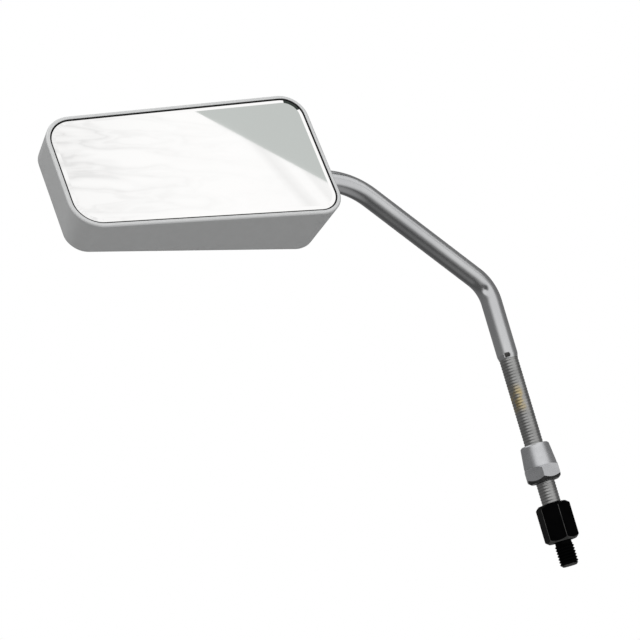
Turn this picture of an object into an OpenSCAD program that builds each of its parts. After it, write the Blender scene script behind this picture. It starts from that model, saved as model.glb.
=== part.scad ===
// Motorcycle mirror: a rectangular left-hand mirror head on a bent stem.
// Millimetres, +Z up along the mounting stud, origin at the stud's seat.
// The stem bends in the XZ plane towards -X, and the glass faces -Y.

/* [Stud adapter] */
// Major diameter of the mounting stud's thread
stud_d = 8; // [6:0.5:10]
// Length of the mounting stud below its seat
stud_len = 10.6; // [8:0.2:16]
// Depth of the relief groove above the stud's thread
stud_groove = 0.5; // [0.3:0.1:1]
// Height of that groove
stud_groove_h = 1.4; // [0.5:0.1:2]
// Clearance of the shallow recess in the seat round the stud's root
root_recess = 0.3; // [0.2:0.1:0.8]
// Depth of that recess
root_recess_h = 0.4; // [0.2:0.1:0.6]
// Width of the adapter's hexagon across its flats
adapter_af = 13; // [12:0.5:17]
// Height of the adapter's hexagon
adapter_h = 16.2; // [13:0.2:20]
// How far the adapter's chamfers reach in past its flats
adapter_chamfer = 0.6; // [0.3:0.1:1]
// Turn of the adapter's hexagon about the stud
adapter_turn = 16; // [0:1:59]
// Solid floor left under the adapter's threaded hole
adapter_floor = 3.8; // [2:0.2:6]

/* [Threaded rod] */
// Major diameter of the rod's thread
rod_d = 8; // [7.6:0.1:8.4]
// Length of the plain shank inside the stem tube
shank_len = 22; // [12:1:24]

/* [Lock nut] */
// Width of the lock nut's hexagon across its flats
nut_af = 14; // [12:0.5:17]
// Height of the hexagon
nut_hex_h = 7.4; // [4:0.2:9]
// How far the nut's chamfers reach in past its flats
nut_chamfer = 1.1; // [0.3:0.1:1.4]
// Height of the tapered collar above the hexagon
nut_collar_h = 8.6; // [5:0.2:12]
// Diameter of the collar at its top
nut_collar_d = 12.3; // [10.5:0.1:13]
// Height of the nut's underside above the seat
nut_z = 25.9; // [20:0.1:45]
// Turn of the nut's hexagon about the rod
nut_turn = 1; // [0:1:59]

/* [Stem tube] */
// Outer diameter of the tube
tube_d = 8.9; // [8.8:0.1:11]
// Wall of the tube
tube_wall = 0.95; // [0.8:0.05:1.2]
// Height of the tube's lower end above the seat
tube_z = 79.8; // [70:0.2:82]
// Height of the corner of the lower bend
bend_1_z = 112; // [108:1:125]
// Bend radius of the lower bend, at the tube's centre line
bend_1_r = 18; // [12:1:20]
// Reach of the corner of the upper bend from the stud's axis
bend_2_x = 50; // [45:1:60]
// Height of that corner
bend_2_z = 166; // [160:1:175]
// Bend radius of the upper bend
bend_2_r = 34; // [24:1:36]
// Length of the tapered crimp at the tube's lower end
crimp_h = 1.8; // [1:0.2:3]
// Number of punch marks that lock the tube on the rod
punch_count = 3; // [2:1:4]
// Turn of the punch marks about the tube
punch_turn = -123; // [-180:1:180]
// Height of the punch marks above the tube's lower end
punch_z = 0.4; // [0.2:0.1:3]
// Width of a punch mark
punch_w = 2.2; // [1.6:0.2:3.6]
// Height of a punch mark
punch_h = 1.8; // [1:0.2:3]
// Depth of a punch mark
punch_depth = 0.4; // [0.2:0.1:0.6]

/* [Ball joint] */
// Reach of the ball's centre from the stud's axis
ball_x = 87; // [84:1:100]
// Height of the ball's centre above the seat
ball_z = 175; // [168:1:180]
// Diameter of the ball
ball_d = 12; // [11:0.5:12.5]
// Diameter of the ball's neck
neck_d = 6; // [5:0.5:6.5]
// Distance from the ball's centre to the end of the tube
neck_len = 24; // [23.5:0.5:26]
// Length of the neck's plug inside the tube
plug_len = 3.6; // [2:0.2:4]
// Wall of the nylon half liners
liner_t = 1; // [0.8:0.1:1.4]
// Clearance between one round face and the next
joint_gap = 0.2; // [0.1:0.05:0.3]
// Swing that the neck may take each way in the head
neck_swing = 13; // [12.5:0.5:14]

/* [Housing] */
// Width of the housing across its lip
head_w = 118; // [105:1:135]
// Height of the lip at the outer end
head_h_outer = 53; // [48:0.5:60]
// Height of the lip at the stem end
head_h_inner = 61; // [54:0.5:70]
// Corner radius at the outer end
corner_r_outer = 13; // [10:0.5:16]
// Corner radius at the stem end
corner_r_inner = 10.5; // [9:0.5:14]
// Depth of the housing at the outer end
depth_outer = 20; // [18:0.2:24]
// Depth of the housing at the stem end
depth_inner = 28.6; // [27:0.2:32]
// Corner radius at the back of the outer end
back_r_outer = 9; // [7:0.5:12]
// Corner radius at the back of the stem end
back_r_inner = 10.5; // [8:0.5:12]
// How far the stem-end wall leans in over its depth
end_lean = 2.3; // [1:0.1:4]
// How far the outer-end wall leans in over its depth
outer_lean = 2; // [1:0.1:4]
// Draft of the two long walls over their depth
side_draft = 0.9; // [0.4:0.1:2]
// Radius of the rounded back edges
back_edge_r = 3; // [2:0.2:4]
// Chamfer round the outside of the lip
lip_chamfer = 0.5; // [0.3:0.1:0.8]
// Thickness of the housing's walls
wall = 2.2; // [1.8:0.1:2.8]
// Tilt of the head, glass upwards
head_tilt = 17; // [0:1:20]
// Roll of the head, stem end downwards
head_roll = 3.5; // [0:0.5:6]
// Distance from the ball's centre to the stem end of the head
ball_inset = 21; // [20:0.5:22]
// Depth of the ball's centre behind the lip
ball_depth = 13.5; // [13.2:0.1:14]
// Wall of the collar round the neck's opening
collar_wall = 1.8; // [1.2:0.2:2.4]

/* [Glass and seal] */
// Width of the lip round the seal
lip_w = 1.7; // [1.3:0.1:2]
// Width of the seal that shows round the glass
seal_w = 0.8; // [0.6:0.1:1.6]
// Thickness of the mirror glass
glass_t = 2.4; // [2:0.1:3]
// Depth of the glass face behind the lip
glass_sink = 0.4; // [0.2:0.1:0.6]
// Width of the bevel round the glass
bevel_w = 1.9; // [1:0.1:2.4]
// Depth of the bevel at the glass edge
bevel_h = 0.7; // [0.4:0.1:1]
// Thickness of the foam pad and of the seal's foot
pad_t = 1; // [0.8:0.1:1.2]
// Width of the seal's foot behind the glass
seal_foot = 1.8; // [1.2:0.1:2.4]

/* [Clamp] */
// Thickness of the pressed clamp plate
plate_t = 1.2; // [1:0.1:1.5]
// Distance from the ball's centre to the rims of its two seats
seat_rim = 5.2; // [5:0.1:5.4]
// Number of clamp screws
screw_count = 3; // [3:1:3]
// Radius of the circle that the clamp screws stand on
screw_circle = 15; // [14.5:0.5:16]
// Diameter of the clamp screws
screw_d = 4; // [3:0.5:4.5]
// Length of a clamp screw under its head
screw_len = 9; // [7:0.5:10]
// Height of a clamp screw's head
screw_head_h = 2; // [1.6:0.1:2.2]
// Thickness of the spring washers
washer_t = 1; // [0.8:0.1:1.1]
// Number of ribs that carry each long side of the seal
rib_count = 5; // [3:1:7]
// Thickness of the housing's ribs
rib_t = 1.6; // [1.2:0.2:2.2]

/* [Hidden] */
$fn = 96;
fit = 0.05;
cut = 1;
bend_thinning = 0.03;
lap = 0.2;
hex_bevel = 40;
arc_steps = 12;
pitch = 1.25;

// Stem: the tube's three straight runs, as angles from +X in the XZ plane
tube_r = tube_d / 2;
tube_bore_r = tube_r - tube_wall;
rise_mid = atan2(bend_2_z - bend_1_z, bend_2_x);
rise_end = atan2(ball_z - bend_2_z, ball_x - bend_2_x);
turn_1 = 90 - rise_mid;
turn_2 = rise_mid - rise_end;
tangent_1 = bend_1_r * tan(turn_1 / 2);
tangent_2 = bend_2_r * tan(turn_2 / 2);
run_low = bend_1_z - tangent_1 - tube_z;
run_mid = norm([bend_2_x, bend_2_z - bend_1_z]) - tangent_1 - tangent_2;
run_end = norm([ball_x - bend_2_x, ball_z - bend_2_z]) - tangent_2 - neck_len;
ball_at = [-ball_x, 0, ball_z];

// Ball joint: each round face, from the ball outwards
ball_r = ball_d / 2;
neck_r = neck_d / 2;
liner_in_r = ball_r + joint_gap;
liner_out_r = liner_in_r + liner_t;
seat_r = liner_out_r + joint_gap;
dome_r = seat_r + plate_t;
neck_slot_r = neck_r + liner_out_r * sin(neck_swing) + joint_gap;

// Depths in the head, measured back from the lip
glass_back = glass_sink + glass_t;
pad_back = glass_back + pad_t;
plate_back = ball_depth - seat_rim;
plate_front = plate_back - plate_t;
washer_front = plate_front - washer_t;
boss_front = plate_back + pad_t;
ball_across = head_w / 2 - ball_inset;
glass_inset = lip_w + seal_w;
edge_slope = atan2((head_h_inner - head_h_outer) / 2, head_w);
screw_r = screw_d / 2;
boss_r = screw_r + 1.8;
seat_boss_r = seat_r + 1.6;

// Places
module in_stem_end() {
  translate(ball_at)
    rotate([0, 90 + rise_end, 0])
      children();
}

module in_head() {
  translate(ball_at)
    rotate([0, head_roll, 0])
      rotate([-head_tilt, 0, 0])
        translate([-ball_across, -ball_depth, 0])
          children();
}

module at_ball() {
  translate([ball_across, 0, 0])
    children();
}

// A flat outline in the lip's plane, extruded from one depth to another
module slab(from, to) {
  translate([0, to, 0])
    rotate([90, 0, 0])
      linear_extrude(to - from)
        children();
}

// A round solid whose axis runs back into the head
module rod_back(from, to, r) {
  translate([0, from, 0])
    rotate([-90, 0, 0])
      cylinder(h = to - from, r = r);
}

module at_screws() {
  for (i = [0 : screw_count - 1])
    rotate([0, 60 + i * 360 / screw_count, 0])
      translate([screw_circle, 0, 0])
        children();
}

// Hexagon whose ends carry turned chamfers, which reach in past its flats
module hex_bar(af, h, chamfer) {
  corner_r = af / 2 / cos(30);
  face_r = af / 2 - chamfer;
  reach = corner_r + cut;
  rise = (reach - face_r) * tan(hex_bevel);
  intersection() {
    cylinder(h = h, r = corner_r, $fn = 6);
    rotate_extrude()
      polygon([[0, 0], [face_r, 0], [reach, rise], [reach, h - rise], [face_r, h], [0, h]]);
  }
}

// Adapter: hexagon with a threaded hole above and the mounting stud below
module adapter() {
  stud_r = stud_d / 2;
  groove_r = stud_r - stud_groove;
  tip = 1.1;
  color([0.05, 0.05, 0.05])
    difference() {
      union() {
        difference() {
          rotate([0, 0, adapter_turn])
            hex_bar(adapter_af, adapter_h, adapter_chamfer);
          translate([0, 0, -cut])
            cylinder(h = cut + root_recess_h, r = stud_r + root_recess);
        }
        rotate_extrude()
          polygon([
            [0, -stud_len],
            [stud_r - tip, -stud_len],
            [stud_r, tip - stud_len],
            [stud_r, -stud_groove_h - stud_groove],
            [groove_r, -stud_groove_h],
            [groove_r, 0],
            [groove_r, cut],
            [0, cut]
          ]);
      }
      translate([0, 0, adapter_floor])
        cylinder(h = adapter_h, r = rod_d / 2 + fit);
      translate([0, 0, adapter_h - pitch / 2])
        cylinder(h = pitch, r1 = rod_d / 2 + fit, r2 = rod_d / 2 + fit + pitch);
    }
}

// Threaded rod: rolled thread below, plain shank pressed into the tube
module threaded_rod() {
  rod_r = rod_d / 2;
  shank_r = tube_bore_r - fit;
  low = adapter_floor + 4 * fit;
  color([0.6, 0.61, 0.62])
    rotate_extrude()
      polygon([
        [0, low],
        [rod_r - pitch / 2, low],
        [rod_r, low + pitch / 2],
        [rod_r, tube_z],
        [shank_r, tube_z],
        [shank_r, tube_z + shank_len - pitch / 2],
        [shank_r - pitch / 2, tube_z + shank_len],
        [0, tube_z + shank_len]
      ]);
}

// Lock nut: hexagon with a tapered collar on top
module lock_nut() {
  bore_r = rod_d / 2 + fit;
  collar_r = nut_collar_d / 2;
  edge = 0.6;
  color([0.72, 0.72, 0.73])
    translate([0, 0, nut_z])
      difference() {
        union() {
          rotate([0, 0, nut_turn])
            hex_bar(nut_af, nut_hex_h, nut_chamfer);
          rotate_extrude()
            polygon([
              [0, nut_hex_h - cut],
              [nut_af / 2, nut_hex_h - cut],
              [nut_af / 2, nut_hex_h],
              [collar_r, nut_hex_h + nut_collar_h - edge],
              [collar_r - edge, nut_hex_h + nut_collar_h],
              [0, nut_hex_h + nut_collar_h]
            ]);
        }
        translate([0, 0, -cut])
          cylinder(h = nut_hex_h + nut_collar_h + 2 * cut, r = bore_r);
        translate([0, 0, -pitch / 2])
          cylinder(h = pitch, r1 = bore_r + pitch / 2, r2 = bore_r);
      }
}

// Straight run of tube along +Z, lapped into the bends at its ends
module run(length, lap_low, lap_high) {
  translate([0, 0, -lap_low])
    difference() {
      cylinder(h = length + lap_low + lap_high, r = tube_r);
      translate([0, 0, -cut])
        cylinder(h = length + lap_low + lap_high + 2 * cut, r = tube_bore_r);
    }
}

// Bend of tube that leaves the origin along +Z and turns towards -X:
// a full ring, cut off below the origin and beyond the turn
module bend(bend_r, turn) {
  span = 4 * bend_r;
  difference() {
    translate([-bend_r, 0, 0])
      rotate([90, 0, 0])
        rotate_extrude()
          translate([bend_r, 0])
            difference() {
              circle(r = tube_r - bend_thinning);
              circle(r = tube_bore_r + bend_thinning);
            }
    translate([-span, -span / 2, -span])
      cube([2 * span, span, span]);
    after_bend(bend_r, turn)
      translate([-span, -span / 2, 0])
        cube([2 * span, span, span]);
  }
}

// Place at the far end of a run or of a bend
module after_run(length) {
  translate([0, 0, length])
    children();
}

module after_bend(bend_r, turn) {
  translate([-bend_r, 0, 0])
    rotate([0, -turn, 0])
      translate([bend_r, 0, 0])
        children();
}

// Crimp and punch marks that lock the tube's lower end on the rod
module crimp_cuts() {
  mouth_r = rod_d / 2 + fit;
  rotate_extrude()
    polygon([
      [mouth_r, -cut],
      [mouth_r, 0],
      [tube_r, crimp_h],
      [tube_r + cut, crimp_h],
      [tube_r + cut, -cut]
    ]);
  for (i = [0 : punch_count - 1])
    rotate([0, 0, punch_turn + i * 360 / punch_count])
      translate([tube_r - punch_depth, -punch_w / 2, punch_z])
        cube([cut, punch_w, punch_h]);
}

// Stem tube: bent steel tube, crimped and punched on the rod
module stem_tube() {
  color([0.62, 0.63, 0.65])
    translate([0, 0, tube_z]) {
      difference() {
        run(run_low, 0, lap);
        crimp_cuts();
      }
      after_run(run_low) {
        bend(bend_1_r, turn_1);
        after_bend(bend_1_r, turn_1) {
          run(run_mid, lap, lap);
          after_run(run_mid) {
            bend(bend_2_r, turn_2);
            after_bend(bend_2_r, turn_2)
              run(run_end, lap, 0);
          }
        }
      }
    }
}

// Ball stud: ball, neck, shoulder on the tube's end and plug inside it
module ball_stud() {
  shoulder = 1.2;
  plug_r = tube_bore_r - fit;
  color([0.7, 0.7, 0.72])
    in_stem_end() {
      sphere(r = ball_r);
      rotate_extrude()
        polygon([
          [0, 0],
          [neck_r, 0],
          [neck_r, neck_len - shoulder - (tube_r - neck_r)],
          [tube_r, neck_len - shoulder],
          [tube_r, neck_len],
          [plug_r, neck_len],
          [plug_r, neck_len + plug_len],
          [0, neck_len + plug_len]
        ]);
    }
}

// Half of the nylon liner: side is -1 for the front half, 1 for the rear
module liner_half(side) {
  pole_r = 2.6;
  in_stem_end()
    difference() {
      sphere(r = liner_out_r);
      sphere(r = liner_in_r);
      translate([-ball_d, side > 0 ? joint_gap - 2 * ball_d : -joint_gap, -ball_d])
        cube(2 * ball_d);
      cylinder(h = ball_d, r = neck_slot_r);
      rotate([90, 0, 0])
        cylinder(h = 2 * ball_d, r = pole_r, center = true);
    }
}

module liner_front() {
  color([0.9, 0.9, 0.86])
    liner_half(-1);
}

module liner_rear() {
  color([0.86, 0.86, 0.82])
    liner_half(1);
}

// Space that the neck sweeps in the head, as a cone from the ball outwards
module neck_cone(grow, from, to) {
  in_stem_end()
    translate([0, 0, from])
      cylinder(
        h = to - from,
        r1 = neck_r + joint_gap + grow + from * tan(neck_swing),
        r2 = neck_r + joint_gap + grow + to * tan(neck_swing)
      );
}

// Corner centres of an outline: across, height and radius at each corner
function corners(r_outer, r_inner, lean_outer, lean_inner, draft) = [
  for (across = [-1, 1], up = [1, -1])
    let (r = across < 0 ? r_outer : r_inner)
      let (x = across < 0 ? r + lean_outer - head_w / 2 : head_w / 2 - lean_inner - r)
        let (half_h = head_h_outer / 2 + (x + head_w / 2) * tan(edge_slope))
          [x, up * (half_h - draft - r / cos(edge_slope)), r]
];

// Plate with the head's rounded outline, its edge moved inwards by inset
module plate(from, to, inset) {
  c = corners(corner_r_outer, corner_r_inner, 0, 0, 0);
  s = edge_slope;
  slab(from, to)
    polygon([
      for (k = [[c[0], 90 + s, 180], [c[1], 180, 270 - s], [c[3], 270 - s, 360], [c[2], 0, 90 + s]])
        for (i = [0 : arc_steps])
          let (a = k[1] + (k[2] - k[1]) * i / arc_steps, r = k[0][2] - inset)
            [k[0][0] + r * cos(a), k[0][1] + r * sin(a)]
    ]);
}

// Round corner of the housing: straight side with a rounded back edge
module back_corner(r, edge) {
  rotate([-90, 0, 0])
    rotate_extrude() {
      square([r - edge, edge]);
      intersection() {
        translate([r - edge, 0])
          circle(r = edge, $fn = 24);
        square([r, edge]);
      }
    }
}

// Convex body of the housing, its walls moved inwards by inset
module shell_form(inset, front) {
  hull_fn = 40;
  edge = max(back_edge_r - inset, 0.6);
  rim = corners(corner_r_outer, corner_r_inner, 0, 0, 0);
  back = corners(back_r_outer, back_r_inner, outer_lean, end_lean, side_draft);
  hull() {
    for (k = rim) {
      r = k[2] - inset;
      translate([k[0], front, k[1]])
        rotate([-90, 0, 0])
          cylinder(h = cut / 2, r1 = inset > 0 ? r : r - lip_chamfer, r2 = r, $fn = hull_fn);
    }
    for (k = back) {
      depth = k[0] < 0 ? depth_outer : depth_inner;
      translate([k[0], depth - inset - edge, k[1]])
        back_corner(k[2] - inset, edge, $fn = hull_fn);
    }
  }
}

// Ribs inside the walls that the seal's foot stands on
module seal_ribs() {
  reach = glass_inset + seal_foot + 1;
  step = (head_w - ball_inset) / rib_count;
  for (i = [0 : rib_count - 1])
    translate([-head_w / 2 + (i + 0.75) * step - rib_t / 2, pad_back, -head_h_inner])
      cube([rib_t, depth_inner, 2 * head_h_inner]);
  for (up = [-1, 1])
    translate([-head_w / 2, pad_back, up * head_h_outer / 5 - rib_t / 2])
      cube([reach, depth_inner, rib_t]);
}

// Housing: moulded shell with its rim, ribs, ball seat and screw bosses
module housing() {
  rib_reach = glass_inset + seal_foot + 1;
  pilot_r = screw_r + fit;
  color([0.55, 0.56, 0.56])
    difference() {
      union() {
        in_head()
          difference() {
            shell_form(0, 0);
            difference() {
              shell_form(wall, pad_back);
              difference() {
                seal_ribs();
                plate(pad_back - cut, depth_inner, rib_reach);
              }
              at_ball() {
                rod_back(ball_depth + seat_rim, depth_inner, seat_boss_r);
                at_screws()
                  rod_back(boss_front, depth_inner, boss_r);
              }
            }
            plate(-cut, pad_back, lip_w);
          }
        intersection() {
          neck_cone(collar_wall, ball_inset / 2, ball_inset + wall);
          in_head()
            shell_form(wall / 2, pad_back);
        }
      }
      neck_cone(0, 0, 2 * ball_inset);
      in_head()
        at_ball() {
          translate([0, ball_depth, 0])
            sphere(r = seat_r);
          at_screws()
            rod_back(boss_front - cut, plate_front + screw_len + 0.4, pilot_r);
        }
    }
}

// Clamp plate: pressed dome over the liner, with an ear for each screw
module clamp_plate() {
  ear_r = screw_r + 2.4;
  arm_r = screw_r + 1.6;
  arm_step = 0.1;
  flange_r = dome_r + 0.6;
  hole_r = screw_r + 0.2;
  pole_r = 2.2;
  color([0.78, 0.76, 0.7])
    difference() {
      in_head()
        at_ball() {
          difference() {
            union() {
              rod_back(plate_front, plate_back, flange_r);
              at_screws() {
                rod_back(plate_front, plate_back, ear_r);
                translate([-screw_circle, plate_front + arm_step, -arm_r])
                  cube([screw_circle, plate_t - 2 * arm_step, 2 * arm_r]);
              }
              intersection() {
                translate([0, ball_depth, 0])
                  sphere(r = dome_r);
                rod_back(0, plate_back - arm_step, flange_r);
              }
            }
            translate([0, ball_depth, 0])
              sphere(r = seat_r);
            rod_back(0, ball_depth, pole_r);
            at_screws()
              rod_back(0, ball_depth, hole_r);
          }
        }
      neck_cone(0, 0, ball_inset);
    }
}

// Spring washers under the screw heads, each split on one side
module spring_washers() {
  color([0.6, 0.6, 0.62])
    in_head()
      at_ball()
        at_screws()
          difference() {
            rod_back(washer_front, plate_front, screw_r + 1.5);
            rod_back(washer_front - cut, plate_front + cut, screw_r + 0.15);
            translate([0, washer_front - cut, -0.3])
              cube([2 * screw_d, washer_t + 2 * cut, 0.6]);
          }
}

// Clamp screws: pan heads with a cross recess, threaded into the bosses
module clamp_screws() {
  head_r = screw_r + 1.6;
  recess = screw_head_h * 0.6;
  slot_w = 0.9;
  color([0.75, 0.75, 0.76])
    in_head()
      at_ball()
        at_screws()
          difference() {
            union() {
              rod_back(washer_front, plate_front + screw_len, screw_r);
              translate([0, washer_front, 0])
                rotate([90, 0, 0])
                  rotate_extrude()
                    polygon([
                      [0, 0],
                      [head_r, 0],
                      [head_r, screw_head_h * 0.6],
                      [head_r - screw_head_h * 0.4, screw_head_h],
                      [0, screw_head_h]
                    ]);
            }
            for (turn = [0, 90])
              translate([0, washer_front - screw_head_h + recess / 2 - cut / 2, 0])
                rotate([0, turn, 0])
                  cube([1.2 * head_r, recess + cut, slot_w], center = true);
          }
}

// Foam pad between the glass and the ribs
module backing_pad() {
  color([0.2, 0.2, 0.2])
    in_head()
      plate(glass_back, pad_back, glass_inset + seal_foot + fit);
}

// Seal: rubber ring round the glass, with a foot behind its edge
module glass_seal() {
  color([0.03, 0.03, 0.03])
    in_head()
      difference() {
        plate(glass_sink / 2, pad_back, lip_w);
        plate(-cut, glass_back, glass_inset);
        plate(0, pad_back + cut, glass_inset + seal_foot);
      }
}

// Mirror glass: flat plate with a ground bevel round its face
module mirror_glass() {
  color([0.85, 0.87, 0.88])
    in_head()
      hull() {
        plate(glass_sink, glass_back, glass_inset + bevel_w);
        plate(glass_sink + bevel_h, glass_back, glass_inset);
      }
}

adapter();
threaded_rod();
lock_nut();
stem_tube();
ball_stud();
liner_front();
liner_rear();
housing();
clamp_plate();
spring_washers();
clamp_screws();
backing_pad();
glass_seal();
mirror_glass();
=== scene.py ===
"""Looks of the motorcycle mirror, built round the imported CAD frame."""
import math

import bmesh
import bpy
from mathutils import Matrix, Vector

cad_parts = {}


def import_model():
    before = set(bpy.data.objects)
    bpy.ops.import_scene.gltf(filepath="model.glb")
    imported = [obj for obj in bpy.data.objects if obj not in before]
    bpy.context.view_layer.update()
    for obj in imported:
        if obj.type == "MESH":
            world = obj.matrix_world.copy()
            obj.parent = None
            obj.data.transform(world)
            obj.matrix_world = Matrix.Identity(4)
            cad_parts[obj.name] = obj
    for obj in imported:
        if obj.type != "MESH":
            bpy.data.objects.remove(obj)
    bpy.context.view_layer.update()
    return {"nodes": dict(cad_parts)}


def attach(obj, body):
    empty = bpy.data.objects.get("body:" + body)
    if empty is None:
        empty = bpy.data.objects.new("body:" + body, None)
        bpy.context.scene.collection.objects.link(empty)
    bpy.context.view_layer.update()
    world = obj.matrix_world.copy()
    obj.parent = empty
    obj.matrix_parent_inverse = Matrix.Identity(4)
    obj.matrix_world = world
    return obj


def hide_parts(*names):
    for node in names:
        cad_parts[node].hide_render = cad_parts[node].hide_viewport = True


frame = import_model()

MM = 0.001

# Threads, in millimetres
PITCH = 1.25
THREAD_DEPTH = 0.5
THREAD_SHARPNESS = 1.3
THREAD_ROWS = 8
THREAD_STEPS = 64
SPARE_TURNS = 3
ROD_THREAD_DEPTH = 0.14
BOLT_R = 4.0
BORE_R = BOLT_R + 0.05

# Adapter, in millimetres; its corner angle and turn in degrees
HEX_BEVEL = math.radians(40)
ADAPTER_AF = 13.0
ADAPTER_CHAMFER = 0.6
ADAPTER_CORNER = 0.13
ADAPTER_CORNER_ANGLE = 40
ADAPTER_CORNER_STEPS = 2
ADAPTER_H = 16.2
ADAPTER_FLOOR = 3.8
ADAPTER_TURN = 16
STUD_LEN = 10.6
STUD_TIP = 1.1
RUBBED_END = 0.7
GROOVE_R = BOLT_R - 0.5
GROOVE_H = 1.4
ROOT_RECESS_R = BOLT_R + 0.3
ROOT_RECESS_H = 0.4

# Rod and lock nut, in millimetres; the nut's turn in degrees
ROD_LOW = 4.0
SHANK_R = 3.45
SHANK_LEN = 22.0
SHANK_STEPS = 48
NUT_AF = 14.0
NUT_CHAMFER = 1.1
NUT_Z = 25.9
NUT_HEX_H = 7.4
NUT_COLLAR_H = 8.6
NUT_COLLAR_R = 6.15
NUT_EDGE = 0.6
NUT_BORE_EDGE = 0.3
NUT_ROUND = 0.2
NUT_TURN = 1

# Stem tube, in millimetres, bent in the XZ plane towards -X
TUBE_R = 4.45
TUBE_BORE_R = 3.5
TUBE_Z = 79.8
TUBE_STEPS = 120
BEND_1_Z = 112.0
BEND_1_R = 18.0
BEND_2 = (50.0, 166.0)
BEND_2_R = 34.0
BALL = (87.0, 175.0)
NECK_LEN = 24.0
CRIMP_H = 1.8
# Spacing of the tube's rings: at its punched end, round a bend and along a run
FINE_LEN = 8.0
FINE_STEP = 0.1
BEND_STEP = 0.4
RUN_STEP = 0.75
# Punch marks: size in millimetres and first one's angle in degrees. A side rises between the
# two distances off the half width, the foot is the steep share of the height, and the run-out
# is the power by which the mark gets shallower above it. Faces deeper than the last depth in
# this list get painted shade: a darker colour that stands for the shade in the marks' hollows.
PUNCH_COUNT = 3
PUNCH_TURN = -123
PUNCH_Z = 0.5
PUNCH_W = 2.5
PUNCH_H = 1.9
PUNCH_DEPTH = 0.62
PUNCH_SIDE = (-0.35, 0.1)
PUNCH_FOOT = 0.15
PUNCH_RUN_OUT = 0.8
PAINTED_SHADE_DEPTH = 0.12
# Dent in the lower bend: distance up the tube and angle, then its spread along and across
DENT_AT = (31.4, -125)
DENT_SPREAD = (1.9, 1.5)
DENT_DEPTH = 0.75

# Head, in millimetres: across and up in the lip's plane, depth behind it; turns in degrees
HEAD_W = 118.0
HEAD_H_OUTER = 53.0
HEAD_H_INNER = 61.0
HEAD_TILT = 17
HEAD_ROLL = 3.5
EDGE_SLOPE = math.atan2((HEAD_H_INNER - HEAD_H_OUTER) / 2, HEAD_W)
# Values in pairs are for the outer end and the stem end
RIM_R = (13.0, 10.5)
BACK_R = (9.0, 10.5)
BACK_DEPTH = (20.0, 28.6)
BACK_LEAN = (2.0, 2.3)
BACK_EDGE = 3.0
BACK_EDGE_LEAST = 0.6
BACK_EDGE_STEPS = 6
CORNER_STEPS = 14
SIDE_DRAFT = 0.9
WALL = 2.2
LIP_CHAMFER = 0.5
LIP_ROUND = 0.18
LIP_ROUND_ANGLE = 24
LIP_ROUND_STEPS = 3
LIP_W = 1.7
SEAL_W = 0.8
SEAL_SEEN = 0.62
SEAL_LAP = 0.05
# Bead of the seal: distance in from the lip, and depth below the bead's crest
SEAL_BEAD = ((0.0, 0.15), (0.08, 0.03), (0.18, 0.0), (0.36, 0.05))
GLASS_SINK = 0.15
GLASS_T = 2.65
GLASS_INSET = LIP_W + SEAL_W
GLASS_BACK = GLASS_SINK + GLASS_T
BAND_W = 1.6
EDGE_DROP = 0.25
GLASS_EDGE = GLASS_SINK + EDGE_DROP
HIDDEN_DROP = 0.2
PAD_T = 1.0
# Ball joint and the opening for the neck
BALL_INSET = 21.0
BALL_DEPTH = 13.5
NECK_R = 3.0
NECK_GAP = 0.2
NECK_SWING = math.radians(13)
NECK_STEPS = 72
COLLAR_WALL = 1.8

# All pieces: overlap of joined forms and merging distance in millimetres, sharp edges in degrees
OVERLAP = 0.3
MERGED = 0.0005
TURN_STEPS = 96
SHARP = 32
TUBE_SHARP = 40
HOUSING_SHARP = 36
SEAL_SHARP = 60
GLASS_SHARP = 6
ROUND_STEPS = 2
# Upward part of the normals of faces that look down and outwards
LOOKS_DOWN = (-0.95, -0.3)

# Camera: its right, down and forward directions in the model, and the shift along them
IMAGE = 640
HALF_PIXEL = 0.5 / IMAGE
SENSOR = 36
CLIP_START = 0.01
FOCAL_PX = 2500.0
CAMERA_RIGHT = Vector((0.86454757, -0.42356775, -0.2704586))
CAMERA_DOWN = Vector((-0.1596001, 0.27889976, -0.94696501))
CAMERA_FORWARD = Vector((0.47653468, 0.86186152, 0.17352065))
CAMERA_SHIFT = Vector((100.849, 91.863, 1040.046)) * MM
CAMERA_AT = -(
    CAMERA_RIGHT * CAMERA_SHIFT.x
    + CAMERA_DOWN * CAMERA_SHIFT.y
    + CAMERA_FORWARD * CAMERA_SHIFT.z
)


# Mesh helpers

def skin(bm, rings, loop=False):
    """Quads between successive rings of as many points, closed into a loop or with end faces."""
    rows = [[bm.verts.new(p) for p in ring] for ring in rings]
    pairs = list(zip(rows, rows[1:]))
    if loop:
        pairs.append((rows[-1], rows[0]))
    for low, high in pairs:
        for i in range(len(low)):
            j = (i + 1) % len(low)
            bm.faces.new((low[i], low[j], high[j], high[i]))
    if not loop:
        bm.faces.new(rows[0])
        bm.faces.new(rows[-1])


def turned(bm, profile_at, steps=TURN_STEPS, turn=0.0, loop=False):
    """Turned form about +Z: profile_at(angle) gives its (radius, height) points in mm."""
    columns = []
    for i in range(steps):
        angle = math.tau * i / steps
        a = angle + math.radians(turn)
        columns.append([
            Vector((r * math.cos(a), r * math.sin(a), z)) * MM for r, z in profile_at(angle)
        ])
    skin(bm, list(zip(*columns)), loop=loop)


def hex_radius(af, angle):
    """Distance from the axis to a hexagon's side, whose corner is at angle 0."""
    off = (angle + math.radians(30)) % math.radians(60) - math.radians(30)
    return af / 2 / math.cos(math.radians(30) - abs(off))


def hex_side(angle, af, height, chamfer):
    """Low and high ends of a hexagon's side between its turned chamfers."""
    r = hex_radius(af, angle)
    rise = (r - af / 2 + chamfer) * math.tan(HEX_BEVEL)
    return [(r, rise), (r, height - rise)]


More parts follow.
